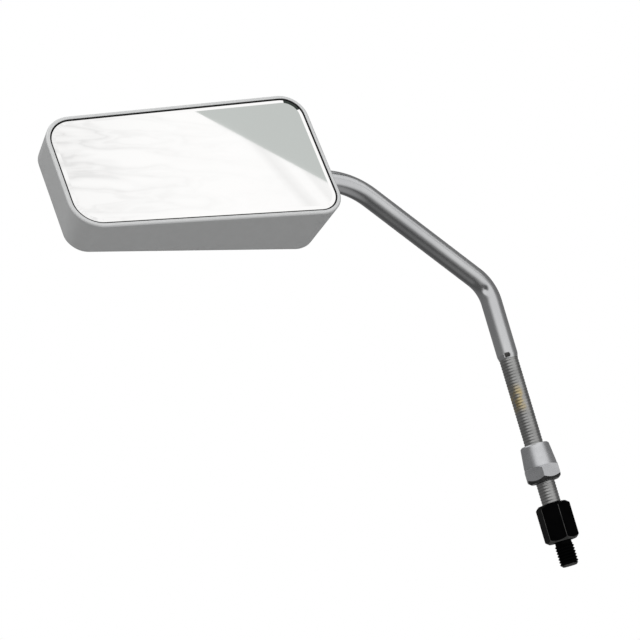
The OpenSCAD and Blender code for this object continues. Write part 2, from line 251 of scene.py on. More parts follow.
def screw_thread(bm, low, high, limit, depth=THREAD_DEPTH):
    """Right-hand thread about +Z in an empty bm, from low to high, in mm, cut back to limit(z)."""
    rows = []
    for k in range(THREAD_ROWS):
        phase = k / THREAD_ROWS
        groove = (0.5 - 0.5 * math.cos(math.tau * phase)) ** THREAD_SHARPNESS
        rows.append((phase, BOLT_R - depth * groove))
    grid = []
    for t in range(math.ceil((high - low) / PITCH) + SPARE_TURNS):
        for phase, r in rows:
            ring = []
            for i in range(THREAD_STEPS):
                z = low + (t - SPARE_TURNS / 2 + phase + i / THREAD_STEPS) * PITCH
                a = math.tau * i / THREAD_STEPS
                radius = min(r, limit(z))
                point = Vector((radius * math.cos(a), radius * math.sin(a), z))
                ring.append(bm.verts.new(point * MM))
            grid.append(ring)
    for j in range(len(grid) - 1 - THREAD_ROWS):
        for i in range(THREAD_STEPS):
            if i + 1 < THREAD_STEPS:
                after, above = grid[j][i + 1], grid[j + 1][i + 1]
            else:
                after, above = grid[j + THREAD_ROWS][0], grid[j + 1 + THREAD_ROWS][0]
            bm.faces.new((grid[j][i], after, above, grid[j + 1][i]))
    for z, up in ((low, -1), (high, 1)):
        cut = bmesh.ops.bisect_plane(
            bm, geom=list(bm.verts) + list(bm.edges) + list(bm.faces),
            plane_co=(0, 0, z * MM), plane_no=(0, 0, up), clear_outer=True,
        )
        rim = [e for e in cut["geom_cut"] if isinstance(e, bmesh.types.BMEdge)]
        bmesh.ops.edgenet_fill(bm, edges=rim)
    loose = [v for v in bm.verts if not v.link_faces]
    bmesh.ops.delete(bm, geom=loose, context="VERTS")


def join(bm, other):
    """Adds another mesh to bm."""
    mesh = bpy.data.meshes.new("part")
    other.to_mesh(mesh)
    other.free()
    bm.from_mesh(mesh)
    bpy.data.meshes.remove(mesh)


def mark_low_chamfers(bm):
    """Gives the second material to the faces that look down and outwards. It holds painted light: shade
    on the nut, a floor reflection on the adapter.
    """
    bmesh.ops.recalc_face_normals(bm, faces=bm.faces)
    for f in bm.faces:
        if LOOKS_DOWN[0] < f.normal.z < LOOKS_DOWN[1]:
            f.material_index = 1


def new_object(name, bm):
    """Object in the scene that takes bm as its mesh."""
    mesh = bpy.data.meshes.new(name)
    bm.to_mesh(mesh)
    bm.free()
    obj = bpy.data.objects.new(name, mesh)
    bpy.context.scene.collection.objects.link(obj)
    return obj


def piece(name, bm, materials, body, nodes, sharp=SHARP, round_mm=0.0):
    """Turns bm into an object that rides on body and stands for nodes.

    The first material is for faces with index 0 and the second for faces with index 1.
    """
    bmesh.ops.remove_doubles(bm, verts=bm.verts, dist=MERGED * MM)
    bmesh.ops.dissolve_degenerate(bm, edges=bm.edges, dist=MERGED * MM)
    bmesh.ops.recalc_face_normals(bm, faces=bm.faces)
    for f in bm.faces:
        f.smooth = True
    for e in bm.edges:
        if len(e.link_faces) == 2 and e.calc_face_angle(0) > math.radians(sharp):
            e.smooth = False
    obj = new_object(name, bm)
    for material in materials:
        obj.data.materials.append(material)
    if round_mm:
        bevel = obj.modifiers.new("rounded_edges", "BEVEL")
        bevel.width = round_mm * MM
        bevel.segments = ROUND_STEPS
        bevel.limit_method = "ANGLE"
        bevel.angle_limit = math.radians(sharp)
        bevel.harden_normals = True
    weighted = obj.modifiers.new("even_shading", "WEIGHTED_NORMAL")
    weighted.keep_sharp = True
    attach(obj, body)
    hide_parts(*nodes)


# Shader helpers

def node_material(name, colour, metallic, roughness, specular=0.5):
    """A Principled material, with its constant values on the shader's own sockets."""
    m = bpy.data.materials.new(name)
    m.use_nodes = True
    shader = m.node_tree.nodes["Principled BSDF"]
    shader.inputs["Base Color"].default_value = (*colour, 1)
    shader.inputs["Metallic"].default_value = metallic
    shader.inputs["Roughness"].default_value = roughness
    shader.inputs["Specular IOR Level"].default_value = specular
    return m, m.node_tree, shader


def object_point(tree):
    """Socket of the shaded point in the object's own coordinates."""
    return tree.nodes.new("ShaderNodeTexCoord").outputs["Object"]


def mapped(tree, vector, scale=(1, 1, 1), turn=0.0, shift=(0, 0, 0)):
    """Vector scaled, turned about Z in degrees, and shifted."""
    node = tree.nodes.new("ShaderNodeMapping")
    node.inputs["Location"].default_value = shift
    node.inputs["Rotation"].default_value = (0, 0, math.radians(turn))
    node.inputs["Scale"].default_value = scale
    tree.links.new(vector, node.inputs["Vector"])
    return node.outputs["Vector"]


def split(tree, vector):
    """Sockets X, Y and Z of a vector."""
    node = tree.nodes.new("ShaderNodeSeparateXYZ")
    tree.links.new(vector, node.inputs[0])
    return node.outputs


def dot_with(tree, vector, direction):
    """Dot product of a vector's socket and a fixed direction."""
    node = tree.nodes.new("ShaderNodeVectorMath")
    node.operation = "DOT_PRODUCT"
    node.inputs[1].default_value = direction
    tree.links.new(vector, node.inputs[0])
    return node.outputs["Value"]


def noise(tree, vector, scale, detail, distortion=0.0):
    """Noise at a vector."""
    node = tree.nodes.new("ShaderNodeTexNoise")
    node.inputs["Scale"].default_value = scale
    node.inputs["Detail"].default_value = detail
    node.inputs["Distortion"].default_value = distortion
    tree.links.new(vector, node.inputs["Vector"])
    return node.outputs["Fac"]


def ranged(tree, value, source, target=(0, 1)):
    """Value carried from the source range to the target range, and held at its ends."""
    node = tree.nodes.new("ShaderNodeMapRange")
    node.inputs["From Min"].default_value = source[0]
    node.inputs["From Max"].default_value = source[1]
    node.inputs["To Min"].default_value = target[0]
    node.inputs["To Max"].default_value = target[1]
    tree.links.new(value, node.inputs["Value"])
    return node.outputs["Result"]


def ramp(tree, value, stops):
    """Colour ramp over value; stops are (position, colour)."""
    node = tree.nodes.new("ShaderNodeValToRGB")
    elements = node.color_ramp.elements
    for i, (at, colour) in enumerate(stops):
        e = elements[i] if i < 2 else elements.new(at)
        e.position = at
        e.color = (*colour, 1)
    tree.links.new(value, node.inputs["Fac"])
    return node.outputs["Color"]


def greys(tree, value, stops):
    """Grey ramp over value; stops are (position, level)."""
    return ramp(tree, value, [(at, (level, level, level)) for at, level in stops])


def computed(tree, operation, a, b):
    """Result of a math operation on two sockets."""
    node = tree.nodes.new("ShaderNodeMath")
    node.operation = operation
    tree.links.new(a, node.inputs[0])
    tree.links.new(b, node.inputs[1])
    return node.outputs[0]


def mix(tree, factor, low, high):
    """Mix of two values or sockets by a factor."""
    node = tree.nodes.new("ShaderNodeMix")
    tree.links.new(factor, node.inputs["Factor"])
    for socket, value in ((node.inputs["A"], low), (node.inputs["B"], high)):
        if isinstance(value, float):
            socket.default_value = value
        else:
            tree.links.new(value, socket)
    return node.outputs["Result"]


def bump(tree, shader, height, depth_mm):
    """Fine relief of depth_mm over the surface."""
    node = tree.nodes.new("ShaderNodeBump")
    node.inputs["Strength"].default_value = 1
    node.inputs["Distance"].default_value = depth_mm * MM
    tree.links.new(height, node.inputs["Height"])
    tree.links.new(node.outputs["Normal"], shader.inputs["Normal"])


# Materials: grain is the fine noise's scale per metre, and its patches are coarser

PATCH_SCALE = 0.12
PATCH_DETAIL = 4
PATCH_STOPS = (0.35, 0.65)
FINE_DETAIL = 3
NOISE_REACH = (0.3, 0.7)


def worn(name, light, dark, metallic, roughness, grain, relief=0.0, specular=0.5, stretch=(1, 1, 1)):
    """A surface in patches from dark to light, whose gloss varies and which has a relief in mm."""
    middle = tuple((a + b) / 2 for a, b in zip(light, dark))
    m, tree, shader = node_material(name, middle, metallic, sum(roughness) / 2, specular)
    place = mapped(tree, object_point(tree), stretch)
    patches = noise(tree, place, grain * PATCH_SCALE, PATCH_DETAIL)
    fine = noise(tree, place, grain, FINE_DETAIL)
    colour = ramp(tree, patches, list(zip(PATCH_STOPS, (dark, light))))
    tree.links.new(colour, shader.inputs["Base Color"])
    tree.links.new(ranged(tree, fine, NOISE_REACH, roughness), shader.inputs["Roughness"])
    if relief:
        bump(tree, shader, fine, relief)
    return m


# Stain on the rod: heights and side reach in millimetres, away from the camera's right
STAIN_Z = (55.5, 69.0)
STAIN_BAND = ((0.0, 0.0), (0.3, 1.0), (0.7, 1.0), (1.0, 0.0))
STAIN_SIDE = (-CAMERA_RIGHT.x, -CAMERA_RIGHT.y, 0)
STAIN_REACH = (-1.6, -0.4)
STAIN_GRAIN = 420
STAIN_CLOUD = ((0.38, 0.0), (0.56, 1.0))
STAIN_TINT = (0.5, 0.405, 0.225)


def stained(m):
    """Lays the cloudy stain over a material, on one side of a band of heights."""
    tree = m.node_tree
    shader = tree.nodes["Principled BSDF"]
    under = shader.inputs["Base Color"].links[0].from_socket
    place = object_point(tree)
    height = ranged(tree, split(tree, place)["Z"], [z * MM for z in STAIN_Z])
    band = greys(tree, height, STAIN_BAND)
    cloud = greys(tree, noise(tree, place, STAIN_GRAIN, FINE_DETAIL), STAIN_CLOUD)
    side = ranged(tree, dot_with(tree, place, STAIN_SIDE), [x * MM for x in STAIN_REACH])
    share = computed(tree, "MULTIPLY", computed(tree, "MULTIPLY", band, cloud), side)
    laid = tree.nodes.new("ShaderNodeMix")
    laid.data_type = "RGBA"
    colour_a, colour_b = (s for s in laid.inputs if s.type == "RGBA")
    tree.links.new(share, laid.inputs["Factor"])
    tree.links.new(under, colour_a)
    colour_b.default_value = (*STAIN_TINT, 1)
    result = next(s for s in laid.outputs if s.type == "RGBA")
    tree.links.new(result, shader.inputs["Base Color"])
    return m


PAINT = worn(
    "satin_grey_paint", light=(0.51, 0.515, 0.515), dark=(0.495, 0.5, 0.5),
    metallic=0.35, roughness=(0.4, 0.46), grain=2600, relief=0.004,
)
CHROME = worn(
    "dull_chrome", light=(0.6, 0.605, 0.61), dark=(0.54, 0.545, 0.555),
    metallic=1.0, roughness=(0.18, 0.24), grain=900, relief=0.0008, stretch=(1, 1, 0.25),
)
ROD = stained(worn(
    "rolled_steel", light=(0.39, 0.39, 0.385), dark=(0.31, 0.31, 0.305),
    metallic=1.0, roughness=(0.26, 0.36), grain=1500, relief=0.002,
))
# Painted shade: a dark metal for the hollows of the punch marks, standing for their shade
PUNCH_HOLLOW_SHADE = worn(
    "punch_mark_painted_shade", light=(0.16, 0.155, 0.15), dark=(0.07, 0.07, 0.07),
    metallic=0.8, roughness=(0.4, 0.55), grain=2600, relief=0.003,
)
ZINC = worn(
    "zinc_plate", light=(0.62, 0.625, 0.64), dark=(0.55, 0.555, 0.57),
    metallic=1.0, roughness=(0.26, 0.34), grain=1800, relief=0.002,
)
# Painted shade: a darkened zinc for the nut's faces that look down, standing for their shade
NUT_UNDERSIDE_SHADE = worn(
    "zinc_painted_shade", light=(0.19, 0.19, 0.19), dark=(0.04, 0.04, 0.04),
    metallic=1.0, roughness=(0.35, 0.45), grain=2400, relief=0.002,
)
BLACK = worn(
    "black_oxide", light=(0.0012, 0.0012, 0.0013), dark=(0.0006, 0.0006, 0.0007),
    metallic=0.0, roughness=(0.2, 0.28), grain=1400, relief=0.003, specular=0.014,
)
# Partly wear, partly painted light: a lighter black for the stud's rubbed tip, for a painted highlight
# on the adapter's corners and for a painted floor reflection on its lower chamfers
BLACK_WEAR_AND_HIGHLIGHT = worn(
    "black_oxide_wear_and_highlight", light=(0.08, 0.08, 0.076), dark=(0.03, 0.03, 0.03),
    metallic=0.2, roughness=(0.35, 0.5), grain=2400, relief=0.002, specular=0.2,
)
RUBBER = worn(
    "seal_rubber", light=(0.005, 0.005, 0.005), dark=(0.003, 0.003, 0.003),
    metallic=0.0, roughness=(0.5, 0.65), grain=2200, relief=0.004, specular=0.1,
)
NYLON = worn(
    "nylon", light=(0.78, 0.77, 0.72), dark=(0.7, 0.69, 0.64),
    metallic=0.0, roughness=(0.4, 0.5), grain=1200, relief=0.002,
)
FOAM = worn(
    "foam", light=(0.05, 0.05, 0.05), dark=(0.03, 0.03, 0.03),
    metallic=0.0, roughness=(0.85, 0.95), grain=1800, relief=0.05,
)
MIRROR = worn(
    "silvered_glass", light=(0.955, 0.95, 0.943), dark=(0.93, 0.925, 0.918),
    metallic=1.0, roughness=(0.012, 0.02), grain=60,
)


# Stem pieces

def stud_limit(z):
    """Radius that the stud's thread keeps within: the groove above, the chamfered tip below."""
    return min(GROOVE_R + max(0, -GROOVE_H - z), BOLT_R - STUD_TIP + STUD_LEN + z)


def adapter():
    """Hexagon with the rod's hole above and the threaded stud below."""
    bm = bmesh.new()
    face_r = ADAPTER_AF / 2 - ADAPTER_CHAMFER

    def profile(angle):
        low, high = hex_side(angle, ADAPTER_AF, ADAPTER_H, ADAPTER_CHAMFER)
        return [
            (BORE_R, ADAPTER_FLOOR),
            (BORE_R, ADAPTER_H - PITCH / 2),
            (BORE_R + PITCH / 2, ADAPTER_H),
            (face_r, ADAPTER_H),
            high,
            low,
            (face_r, 0),
            (ROOT_RECESS_R, 0),
            (ROOT_RECESS_R, ROOT_RECESS_H),
            (GROOVE_R, ROOT_RECESS_H),
            (GROOVE_R, -GROOVE_H - OVERLAP),
        ]

    turned(bm, profile, turn=ADAPTER_TURN)
    bmesh.ops.recalc_face_normals(bm, faces=bm.faces)
    corners = [
        e for e in bm.edges
        if abs(e.verts[0].co.z - e.verts[1].co.z) > ADAPTER_H / 2 * MM
        and e.calc_face_angle(0) > math.radians(ADAPTER_CORNER_ANGLE)
    ]
    # Painted highlight: the bevelled corners take the lighter second material
    bmesh.ops.bevel(
        bm, geom=corners, offset=ADAPTER_CORNER * MM, offset_type="OFFSET",
        segments=ADAPTER_CORNER_STEPS, profile=0.5, affect="EDGES", clamp_overlap=True, material=1,
    )
    # Painted reflection: the lower chamfers take the lighter second material, as if showing the floor
    mark_low_chamfers(bm)
    stud = bmesh.new()
    screw_thread(stud, -STUD_LEN, -GROOVE_H, stud_limit)
    join(bm, stud)
    # Wear: the stud's rubbed tip takes the same lighter material
    for f in bm.faces:
        if f.calc_center_median().z < (RUBBED_END - STUD_LEN) * MM:
            f.material_index = 1
    piece("adapter_body", bm, [BLACK, BLACK_WEAR_AND_HIGHLIGHT], "base", ["adapter"])


def rod():
    """Threaded rod with its plain shank in the tube."""
    bm = bmesh.new()
    screw_thread(
        bm, ROD_LOW, TUBE_Z, lambda z: BOLT_R - PITCH / 2 + z - ROD_LOW, ROD_THREAD_DEPTH
    )
    shank = bmesh.new()
    top = TUBE_Z + SHANK_LEN
    turned(shank, lambda a: [
        (SHANK_R, TUBE_Z - OVERLAP),
        (SHANK_R, top - PITCH / 2),
        (SHANK_R - PITCH / 2, top),
    ], steps=SHANK_STEPS)
    join(bm, shank)
    piece("stem_rod", bm, [ROD], "stem", ["threaded_rod"])


def lock_nut():
    """Hexagon with a tapered collar, its lower chamfer in painted shade."""
    bm = bmesh.new()
    top = NUT_HEX_H + NUT_COLLAR_H

    def profile(angle):
        low, high = hex_side(angle, NUT_AF, NUT_HEX_H, NUT_CHAMFER)
        points = [
            (BORE_R + PITCH / 2, 0),
            (NUT_AF / 2 - NUT_CHAMFER, 0),
            low,
            high,
            (NUT_AF / 2, NUT_HEX_H - NUT_CHAMFER * math.tan(HEX_BEVEL)),
            (NUT_AF / 2, NUT_HEX_H),
            (NUT_COLLAR_R, top - NUT_EDGE),
            (NUT_COLLAR_R - NUT_EDGE, top),
            (BORE_R + NUT_BORE_EDGE, top),
            (BORE_R, top - NUT_BORE_EDGE),
            (BORE_R, PITCH / 2),
        ]
        return [(r, z + NUT_Z) for r, z in points]

    turned(bm, profile, turn=NUT_TURN, loop=True)
    # Painted shade on the faces that look down
    mark_low_chamfers(bm)
    piece("nut_body", bm, [ZINC, NUT_UNDERSIDE_SHADE], "nut", ["lock_nut"], round_mm=NUT_ROUND)


def on_part(at, heading, length, turn, s):
    """Point and heading, s mm into a run or bend that starts at a point with a heading.

    A heading is the angle from +Z towards -X.
    """
    if turn:
        r = length / turn
        a = heading + s / r
        centre = at + Vector((-math.cos(heading), 0, -math.sin(heading))) * r
        return centre + Vector((math.cos(a), 0, math.sin(a))) * r, a
    return at + Vector((-math.sin(heading), 0, math.cos(heading))) * s, heading


def stem_stations():
    """Stations on the tube's centre line: (point, heading, distance from its lower end)."""
    rise_mid = math.atan2(BEND_2[1] - BEND_1_Z, BEND_2[0])
    rise_end = math.atan2(BALL[1] - BEND_2[1], BALL[0] - BEND_2[0])
    turn_1 = math.pi / 2 - rise_mid
    turn_2 = rise_mid - rise_end
    tangent_1 = BEND_1_R * math.tan(turn_1 / 2)
    tangent_2 = BEND_2_R * math.tan(turn_2 / 2)
    run_low = BEND_1_Z - tangent_1 - TUBE_Z
    run_mid = math.hypot(BEND_2[0], BEND_2[1] - BEND_1_Z) - tangent_1 - tangent_2
    run_end = math.hypot(BALL[0] - BEND_2[0], BALL[1] - BEND_2[1]) - tangent_2 - NECK_LEN
    parts = [
        (run_low, 0.0),
        (BEND_1_R * turn_1, turn_1),
        (run_mid, 0.0),
        (BEND_2_R * turn_2, turn_2),
        (run_end, 0.0),
    ]
    stations = []
    at = Vector((0, 0, TUBE_Z))
    heading = 0.0
    done = 0.0
    for length, turn in parts:
        if done == 0:
            count = round(FINE_LEN / FINE_STEP)
            marks = [FINE_LEN * i / count for i in range(count)]
            marks.append((FINE_LEN + length) / 2)
        else:
            count = max(2, round(length / (BEND_STEP if turn else RUN_STEP)))
            marks = [length * i / count for i in range(count)]
        for s in marks:
            stations.append((*on_part(at, heading, length, turn, s), done + s))
        at, heading = on_part(at, heading, length, turn, length)
        done += length
    stations.append((at, heading, done))
    return stations


def ease(value, low, high):
    """Smooth step from 0 at low to 1 at high."""
    t = min(max((value - low) / (high - low), 0), 1)
    return t * t * (3 - 2 * t)


def wrapped(angle):
    """Angle brought between minus and plus half a turn."""
    return (angle + math.pi) % math.tau - math.pi


def crimped_radius(s):
    """Radius of the tube's crimped end, s mm from its lower end."""
    return TUBE_R - (TUBE_R - BORE_R) * max(0, 1 - s / CRIMP_H)


def tube_radius(s, angle):
    """Outer radius of the tube, s mm from its lower end, at an angle about its centre line."""
    r = crimped_radius(s)
    up = (s - PUNCH_Z) / PUNCH_H
    for i in range(PUNCH_COUNT):
        off = wrapped(angle - math.radians(PUNCH_TURN + i * 360 / PUNCH_COUNT))
        across = abs(off) * TUBE_R - PUNCH_W / 2
        if 0 < up < 1:
            profile = min(up / PUNCH_FOOT, 1) * (1 - up) ** PUNCH_RUN_OUT
            r -= PUNCH_DEPTH * (1 - ease(across, *PUNCH_SIDE)) * profile
    off = wrapped(angle - math.radians(DENT_AT[1]))
    across = off * TUBE_R / DENT_SPREAD[1]
    along = (s - DENT_AT[0]) / DENT_SPREAD[0]
    return r - DENT_DEPTH * math.exp(-across ** 2 - along ** 2)


def stem_tube():
    """Bent tube with its bore, punch marks and dent; the marks' floors get painted shade."""
    bm = bmesh.new()
    angles = [math.tau * i / TUBE_STEPS for i in range(TUBE_STEPS)]
    back = Vector((0, 1, 0))
    outer, inner = [], []
    for centre, heading, s in stem_stations():
        side = Vector((math.cos(heading), 0, math.sin(heading)))
        rays = [side * math.cos(a) + back * math.sin(a) for a in angles]
        outer.append([(centre + ray * tube_radius(s, a)) * MM for ray, a in zip(rays, angles)])
        inner.append([(centre + ray * TUBE_BORE_R) * MM for ray in rays])
    skin(bm, outer + inner[::-1], loop=True)
    # Painted shade: faces deep in the punch marks take the second, darker material
    for f in bm.faces:
        middle = f.calc_center_median() / MM
        s = middle.z - TUBE_Z
        if 0 < s < PUNCH_Z + PUNCH_H:
            r = math.hypot(middle.x, middle.y)
            if TUBE_BORE_R < r < crimped_radius(s) - PAINTED_SHADE_DEPTH:
                f.material_index = 1
    piece(
        "stem_bent_tube", bm, [CHROME, PUNCH_HOLLOW_SHADE], "stem", ["stem_tube"],
        sharp=TUBE_SHARP,
    )


# Head pieces

def head_place():
    """Matrix from the head's own frame, in mm, to the model, in metres."""
    place = Matrix.Translation(Vector((-BALL[0], 0, BALL[1])) * MM)
    place = place @ Matrix.Rotation(math.radians(HEAD_ROLL), 4, "Y")
    place = place @ Matrix.Rotation(math.radians(-HEAD_TILT), 4, "X")
    place = place @ Matrix.Scale(MM, 4)
    return place @ Matrix.Translation(Vector((BALL_INSET - HEAD_W / 2, -BALL_DEPTH, 0)))


def corner_centres(radii, leans=(0, 0), draft=0.0):
    """Corners (x, z, radius, first and last angle), anticlockwise from the upper outer one."""
    found = []
    for side, r, lean in zip((-1, 1), radii, leans):
        x = side * (HEAD_W / 2 - lean - r)
        half = HEAD_H_OUTER / 2 + (x + HEAD_W / 2) * math.tan(EDGE_SLOPE)
        found.append((x, half - draft - r / math.cos(EDGE_SLOPE), r))
    (xo, zo, ro), (xi, zi, ri) = found
    slope = math.degrees(EDGE_SLOPE)
    return [
        (xo, zo, ro, 90 + slope, 180),
        (xo, -zo, ro, 180, 270 - slope),
        (xi, -zi, ri, 270 - slope, 360),
        (xi, zi, ri, 0, 90 + slope),
    ]


HEAD = head_place()
RIM = corner_centres(RIM_R)
BACK = corner_centres(BACK_R, BACK_LEAN, SIDE_DRAFT)


def outline(inset, corners):
    """Points (x, z) of the head's rounded outline, moved inwards by inset."""
    points = []
    for x, z, r, first, last in corners:
        for i in range(CORNER_STEPS + 1):
            a = math.radians(first + (last - first) * i / CORNER_STEPS)
            points.append((x + (r - inset) * math.cos(a), z + (r - inset) * math.sin(a)))
    return points


def head_ring(points, depth):
    """Ring of model points at a depth behind the lip, or at depth(x)."""
    return [HEAD @ Vector((x, depth(x) if callable(depth) else depth, z)) for x, z in points]


def back_depth(x, inset):
    """Depth of the housing's back at x, less inset: it grows from the outer to the stem end."""
    start = BACK[0][0] - BACK_R[0] + BACK_EDGE
    end = BACK[3][0] - BACK_R[1] + BACK_EDGE
    t = min(max((x - start) / (end - start), 0), 1)
    return BACK_DEPTH[0] + (BACK_DEPTH[1] - BACK_DEPTH[0]) * t - inset


def shell(inset, front, lip=0.0):
    """Rings of the housing's form, from the front to the back, its walls moved in by inset."""
    edge = max(BACK_EDGE - inset, BACK_EDGE_LEAST)
    rings = [head_ring(outline(inset + lip, RIM), front)]
    if lip:
        rings.append(head_ring(outline(inset, RIM), front + lip))
    for i in range(BACK_EDGE_STEPS + 1):
        a = math.pi / 2 * i / BACK_EDGE_STEPS
        sides = outline(inset + edge * (1 - math.cos(a)), BACK)
        drop = inset + edge * (1 - math.sin(a))
        rings.append(head_ring(sides, lambda x, d=drop: back_depth(x, d)))
    return rings


def neck_cone(grow, start, end):
    """Solid cone that the neck sweeps, from start to end mm off the ball."""
    bm = bmesh.new()
    slope = math.tan(NECK_SWING)
    turned(bm, lambda a: [
        (NECK_R + NECK_GAP + grow + d * slope, d) for d in (start, end)
    ], steps=NECK_STEPS)
    axis = Vector((BALL[0] - BEND_2[0], 0, BEND_2[1] - BALL[1]))
    turn = axis.to_track_quat("Z", "Y").to_matrix().to_4x4()
    bm.transform(Matrix.Translation(Vector((-BALL[0], 0, BALL[1])) * MM) @ turn)
    return bm


def passing(name, bm):
    """Object that is only used by a boolean."""
    bmesh.ops.remove_doubles(bm, verts=bm.verts, dist=MERGED * MM)
    bmesh.ops.recalc_face_normals(bm, faces=bm.faces)
    return new_object(name, bm)


def combine(obj, other, operation):
    """Adds a boolean with another object."""
    modifier = obj.modifiers.new(operation, "BOOLEAN")
    modifier.operation = operation
    modifier.solver = "EXACT"
    modifier.object = other


def housing():
    """Shell with the lip, the wall, and the collar and opening for the neck."""
    recess = [
        head_ring(outline(LIP_W, RIM), GLASS_BACK + PAD_T),
        head_ring(outline(LIP_W, RIM), 0),
    ]
    bm = bmesh.new()
    skin(bm, shell(WALL, GLASS_BACK + PAD_T)[::-1] + recess + shell(0, 0, LIP_CHAMFER))
    form = bmesh.new()
    skin(form, shell(WALL / 2, GLASS_BACK + PAD_T))
    body = passing("shell", bm)
    collar = passing("collar", neck_cone(COLLAR_WALL, BALL_INSET / 2, BALL_INSET + WALL))
    limit = passing("limit", form)
    sweep = passing("sweep", neck_cone(0, 0, 2 * BALL_INSET))
    edges = body.modifiers.new("rounded_edges", "BEVEL")
    edges.width = LIP_ROUND * MM
    edges.segments = LIP_ROUND_STEPS
    edges.limit_method = "ANGLE"
    edges.angle_limit = math.radians(LIP_ROUND_ANGLE)
    combine(collar, limit, "INTERSECT")
    combine(body, collar, "UNION")
    combine(body, sweep, "DIFFERENCE")
    made = bmesh.new()
    made.from_object(body, bpy.context.evaluated_depsgraph_get())
    for obj in (body, collar, limit, sweep):
        mesh = obj.data
        bpy.data.objects.remove(obj)
        bpy.data.meshes.remove(mesh)
    piece(
        "housing_shell", made, [PAINT], "head", ["housing"], sharp=HOUSING_SHARP
    )


def seal():
    """Rubber ring between the lip and the glass, which laps over the glass's edge."""
    crest = GLASS_SINK / 2
    section = [(LIP_W + inwards, crest + depth) for inwards, depth in SEAL_BEAD]
    section += [
        (LIP_W + SEAL_SEEN, GLASS_EDGE - SEAL_LAP),
        (GLASS_INSET, GLASS_EDGE + HIDDEN_DROP),
        (GLASS_INSET, GLASS_BACK),
        (LIP_W, GLASS_BACK),
    ]
    bm = bmesh.new()
    skin(bm, [head_ring(outline(inset, RIM), depth) for inset, depth in section], loop=True)
    piece("seal_ring", bm, [RUBBER], "head", ["glass_seal"], sharp=SEAL_SHARP)


def glass():
    """Mirror glass with its ground bevel."""
    bm = bmesh.new()
    skin(bm, [
        head_ring(outline(GLASS_INSET, RIM), GLASS_BACK),
        head_ring(outline(GLASS_INSET, RIM), GLASS_EDGE + HIDDEN_DROP),
        head_ring(outline(LIP_W + SEAL_SEEN, RIM), GLASS_EDGE),
        head_ring(outline(LIP_W + SEAL_SEEN + BAND_W, RIM), GLASS_SINK),
    ])
    piece("glass_plate", bm, [MIRROR], "head", ["mirror_glass"], sharp=GLASS_SHARP)


adapter()
rod()
lock_nut()
stem_tube()
housing()
seal()
glass()

# CAD nodes that keep their own shape and only get a material
CARRIED = {
    "ball_stud": ZINC,
    "liner_front": NYLON,
    "liner_rear": NYLON,
    "clamp_plate": ZINC,
    "spring_washers": ZINC,
    "clamp_screws": ZINC,
    "backing_pad": FOAM,
}
for name, material in CARRIED.items():
    for place in frame["nodes"][name].material_slots:
        place.material = material


# Stage: floor, lamps, cards, world and camera

FLOOR_Z = -0.2
FLOOR_HALF = 3.0
FLOOR_PARTS = 8
FLOOR_COLOUR = (0.57, 0.57, 0.57)
FLOOR_ROUGHNESS = 0.6
AIM = Vector((-0.05, 0, 0.09))
LAMPS = {
    # name: (direction from the object, distance m, size m, watts)
    "key": ((-0.75, -0.75, 0.9), 1.3, 0.9, 11),
    "fill": ((0.75, -1.0, 0.35), 1.4, 0.7, 7),
    "top": ((0.1, 0.2, 1.0), 1.3, 1.0, 6),
}
AMBIENT = 0.55
# Light that reflections show: a direction's turn and rise off the camera's side in degrees,
# then its levels by the cosine of the angle off that direction
WINDOW = ((22, 35), [(0.0, 0.0), (0.45, 0.33), (0.56, 0.5), (0.68, 0.85), (0.76, 1.0)])
LOW_WINDOW = ((55, -20), [(0.75, 0.1), (0.84, 0.4), (0.9, 0.75), (0.96, 0.95)])
DIM_SIDE = ((-20, -15), [(-0.8, 0.15), (-0.25, 0.3), (0.0, 0.5), (0.12, 0.92), (0.3, 1.0)])
# Least light of a direction, by its upward part
HEIGHTS = [
    (-1.0, 0.42),
    (-0.92, 0.36),
    (-0.84, 0.22),
    (-0.76, 0.11),
    (-0.6, 0.11),
    (-0.3, 0.2),
    (0.15, 0.25),
    (0.74, 0.25),
    (0.82, 1.0),
]
# Grey triangle in the glass: two pixels on its long edge; the card's distance and reach in metres
GLASS_EDGE_FROM = (197, 112)
GLASS_EDGE_TO = (327, 182)
GLASS_CARD_COLOUR = (0.56, 0.59, 0.575)
CARD_AWAY = 1.6
CARD_REACH = 0.16
# Dark thing in the glass's bevel at one corner: pixels, each with the bevel's lean across and
# up, and how much of the bevel's slope the card's two edges take
CORNER_STATIONS = (((284, 98), (0.2, 1.0)), ((294, 103), (0.62, 0.8)), ((301, 112), (0.97, 0.36)))
CORNER_REACH = (0.7, 1.4)
CORNER_CARD_COLOUR = (0.045, 0.055, 0.05)
# White sheet behind the triangle: its distance in metres, pixels of its corners, and pixels of
# the start, the right end and the upper end of the grid that its creases and streaks lie on
PAPER_AWAY = 1.8
PAPER_CORNERS = ((-500, -450), (900, -500), (900, 800), (-500, 800))
PAPER_GRID = ((50, 210), (235, 210), (50, 110))
PAPER_LEVEL = (1.05, 0.8)
CREASE_STRETCH = (1.1, 3.4, 1)
CREASE_TURN = -14
CREASE_SCALE = 1.6
CREASE_DETAIL = 3
CREASE_DISTORTION = 0.35
CREASE_FADE = [(0.0, 1.0), (0.6, 0.3), (1.0, 0.1)]
CREASES = [
    (0.38, 0.15),
    (0.46, 0.5),
    (0.475, 1.0),
    (0.5, 0.55),
    (0.54, 0.25),
    (0.56, 0.7),
    (0.6, 0.2),
]
STREAK_STRETCH = (4, 4, 1)
STREAK_TURN = 65.8
STREAK_SHIFT = (0.65, -4.4, 0)
STREAK_DEPTH = 0.11
STREAK_START = [(0.0, 0.0), (0.4, 1.0)]
STREAKS = [
    (0.0, 0.0),
    (0.2, 1.0),
    (0.38, 0.4),
    (0.45, 0.0),
    (0.62, 0.0),
    (0.72, 0.9),
    (0.95, 0.5),
    (1.0, 0.0),
]


